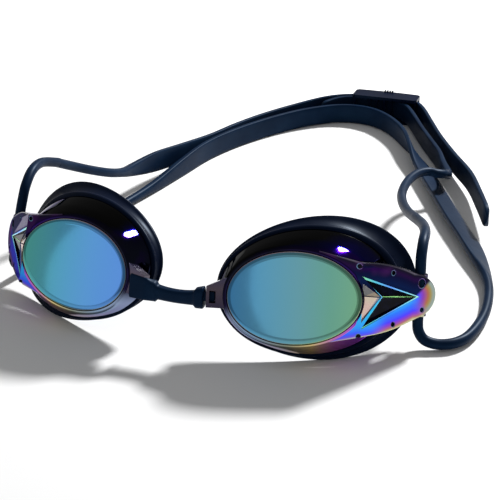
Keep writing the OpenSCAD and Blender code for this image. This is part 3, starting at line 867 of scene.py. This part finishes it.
for side, word in WORD.items():
    shell = oval_ring(f"{word}_cup_shell", CUP_SECTION, CUP_RADII, side, hug=0.75)
    wing = make_wing(side) if side > 0 else mirrored(wing, "right_cup_wing")
    tab = make_tab(side)
    glass = make_lens(side)
    seal = oval_ring(f"{word}_face_seal", GASKET_SECTION, GASKET_RADII, side, arc=5)
    for piece in (shell, wing, tab, glass, seal):
        note_place(piece, side)
        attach(piece, f"{word}_cup")
    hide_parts(f"{word}_cup")
    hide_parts(f"{word}_lens")
    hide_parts(f"{word}_gasket")


# ---------------------------------------------------------------- nose bridge, strap ends and clip
BRIDGE_HALF, BRIDGE_OVER_TAB, BRIDGE_NECK = 9.4, 15.4, 6.3    # how far from its middle its parts reach
BRIDGE_Y, BRIDGE_Z, BRIDGE_SAG = -3.9, 18.9, 1.1


def join(base, other):
    """Makes the other a part of the base."""
    with bpy.context.temp_override(object=base, active_object=base, selected_objects=[base, other],
                                   selected_editable_objects=[base, other]):
        bpy.ops.object.join()


def make_bridge(side):
    """Half of the soft bar between the nose tabs, with its tongue; the right half also covers its tab."""
    count, rings = 40, []
    reach, steps = (BRIDGE_HALF, 7) if side > 0 else (BRIDGE_OVER_TAB, 20)
    xs = np.concatenate([np.linspace(0, BRIDGE_NECK, 18), np.linspace(6.7, reach - 0.5, steps),
                         reach - np.array([0.35, 0.15, 0.03, 0.0])])
    for x in xs:
        e = min(x / BRIDGE_HALF, 1.0)
        over = float(smoothstep((x - 7.0) / 3.2)) if side < 0 else 0.0
        head = float(smoothstep((x - BRIDGE_NECK + 0.4) / 0.9)) * (1 - over)
        end = math.sqrt(max(1 - max(0.0, (x - reach + 0.45) / 0.46) ** 2, 0.0))
        height = (2.15 + 0.75 * e ** 2.5 + 0.85 * head + 0.055 * over * x) * (0.72 + 0.28 * end)
        depth = (1.55 + 0.4 * head - 0.95 * over) * (0.7 + 0.3 * end)
        ys, zs = rounded_section(depth, height, 3.4, count, math.pi / count).T
        lean = -1.65 + 0.2 * (x - 10.5) + 0.8 * math.tan(RAKE) * zs
        centre_z = BRIDGE_Z - BRIDGE_SAG * (1 - e * e) + 0.6 * over
        rings.append(np.stack([np.full(count, side * x), BRIDGE_Y + ys + over * lean, centre_z + zs], -1))
    bar = new_object(f"nose_bridge_{WORD[side]}_half", np.concatenate(rings), tube_faces(len(rings), count),
                     sharp=60)
    tongue = [(-28.2, 0.3), (-25.0, 0.3), (-24.7, 0), (-24.7, -2.3), (-25.0, -2.6), (-28.2, -2.6)]
    join(bar, plate("tongue", tongue, 1.65, 2.35, flat_place, side))
    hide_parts("nose_bridge")
    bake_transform(bar)
    return bar


def make_plug(side):
    """The stretch of round cord inside a wing's strap hole, from the lower strap to the upper cord."""
    low, high = (LOWER_ROUTE[0], LEFT_CORD_ROUTE[0]) if side > 0 else (LOWER_ROUTE[-1], RIGHT_CORD_ROUTE[0])
    line = np.linspace(np.array(low, float), np.array(high, float), 12)
    ways, across = line_frames(line, 0)
    section = strap_profile(0.0)
    rings = [p + section[:, :1] * h + section[:, 1:] * np.cross(w, h) for p, w, h in zip(line, ways, across)]
    plug = new_object(f"strap_in_{WORD[side]}_wing", np.concatenate(rings),
                      tube_faces(len(rings), len(section)), sharp=60)
    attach(plug, f"{WORD[side]}_cup")
    return plug


CLIP_AT = np.array([11, 228.2, 6.0])
CLIP_L, CLIP_H, PLATE_T, RAIL_H, CLIP_GAP = 30.0, 12.0, 1.6, 1.4, 5.8


def upright(name, outline, z0, z1):
    """A solid with an outline in plan, from height z0 to z1, measured from the clip's middle."""
    verts = [CLIP_AT + (x, y, z) for z in (z0, z1) for x, y in outline]
    return new_object(name, verts, prism_faces(len(outline)), smooth=False)


def make_clip():
    """The rear clip: an arched plate behind the bands, two rails, six bars in front, and ridges on top."""
    half, back, inner = CLIP_L / 2, CLIP_GAP / 2 + PLATE_T, CLIP_GAP / 2
    arch = [(x, back - 0.5 * (x / half) ** 2) for x in np.linspace(half - 1.2, -half + 1.2, 15)]
    outline = ([(half, inner - 0.4), (half, back - 1.5)] + arch
               + [(-half, back - 1.5), (-half, inner), (half - 1.6, inner), (half - 1.6, inner - 0.4)])
    clip = upright("rear_clip_body", outline, -CLIP_H / 2, CLIP_H / 2)
    rail = [(-half, inner + 0.3), (-half, -inner - 0.6), (-half + 1.2, -inner - 1.8),
            (half - 1.2, -inner - 1.8), (half, -inner - 0.6), (half, inner + 0.3)]
    for z0 in (-CLIP_H / 2, CLIP_H / 2 - RAIL_H):
        combine(clip, upright("rail", rail, z0, z0 + RAIL_H), "UNION")
    # each bar: its place along the clip, its distance in front of the bands, and its radius
    for x, front, r in ((-half + 1.2, 1.25, 0.65), (-7.2, 0.9, 0.55), (-3.6, 0.9, 0.55), (0, 0.9, 0.9),
                        (3.4, 0.9, 0.55), (half - 0.9, 0.5, 0.5)):
        ring = circle(x, -inner - front, r, 20)
        combine(clip, upright("bar", ring, -CLIP_H / 2 + 0.2, CLIP_H / 2 - 0.2), "UNION")
    for k in range(4):
        x = -1.8 + 1.15 * k
        ridge = [(x, inner + 0.1), (x + 0.65, inner + 0.1), (x + 0.65, back - 0.2), (x, back - 0.2)]
        combine(clip, upright("ridge", ridge, CLIP_H / 2 - 0.5, CLIP_H / 2 + 0.75), "UNION")
    soften(clip, 0.25)
    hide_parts("rear_clip")
    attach(clip, "clip")
    return clip


bridges = [make_bridge(side) for side in (1, -1)]
plugs = [make_plug(side) for side in (1, -1)]
clip = make_clip()


# ---------------------------------------------------------------- finishes on the pieces
for piece in straps + plugs + bridges:
    paint(piece, strap_skin)
paint(clip, clip_skin)
for word in WORD.values():
    paint(bpy.data.objects[f"{word}_cup_shell"], walls)
    paint(bpy.data.objects[f"{word}_cup_nose_tab"], tab_skin)
    paint(bpy.data.objects[f"{word}_face_seal"], seal_skin)


# ---------------------------------------------------------------- floor and light
def stage():
    """A pale floor, an even grey-white sky, and a plain view of the colours."""
    bpy.ops.mesh.primitive_plane_add(size=6, location=(0, 0, 0))
    floor = bpy.context.object
    floor.name = "floor"
    n = Nodes("floor")
    n.set(Base_Color=(0.86, 0.86, 0.86, 1), Roughness=0.8)
    floor.data.materials.append(n.material)
    world = bpy.data.worlds.new("studio")
    bpy.context.scene.world = world
    world.use_nodes = True
    sky = world.node_tree.nodes["Background"].inputs
    sky["Color"].default_value = (1, 1, 1, 1)
    sky["Strength"].default_value = 0.3
    bpy.context.scene.view_settings.view_transform = "Standard"


def area_light(name, place, aim, size, power):
    """A round lamp at place, turned to aim; it isn't seen itself."""
    data = bpy.data.lights.new(name, "AREA")
    data.shape, data.size, data.energy = "DISK", size, power
    light = bpy.data.objects.new(name, data)
    light.location = place
    light.rotation_mode = "QUATERNION"
    light.rotation_quaternion = (Vector(aim) - Vector(place)).to_track_quat("-Z", "Y")
    light.visible_camera = False
    bpy.context.scene.collection.objects.link(light)


stage()
area_light("key", (0.29, 0.71, 0.72), (0, -0.05, 0), 0.15, 20)
# soft cards in front, for the mirror coatings to reflect
NEAR_WAY, FAR_WAY = (0.131, -0.977, 0.170), (-0.732, -0.679, 0.078)
LENS_MIDDLE = {side: Vector(at_frame((side * LENS_PITCH / 2, 0, LENS_Z))) for side in (1, -1)}


def card(name, side, way, across, up, distance, size, glow):
    """A soft disc seen in one lens: way is the direction of the reflection, across and up shift the disc."""
    way = Vector(way).normalized()
    sideways = way.cross(Vector((0, 0, 1))).normalized()
    place = LENS_MIDDLE[side] + (way * distance + sideways * across + Vector((0, 0, up))) * MM
    area_light(name, place, LENS_MIDDLE[side], size * MM, glow * math.pi * math.pi * (size * MM / 2) ** 2)


card("near_fill", 1, NEAR_WAY, 0, 0, 640, 330, 0.30)
card("near_disc", 1, NEAR_WAY, -27, 12, 600, 124, 0.48)
card("far_fill", -1, FAR_WAY, 0, 10, 640, 300, 0.36)
card("far_disc", -1, FAR_WAY, -36, -4, 600, 108, 0.5)
card("far_spot", -1, FAR_WAY, 6, 50, 600, 34, 0.5)
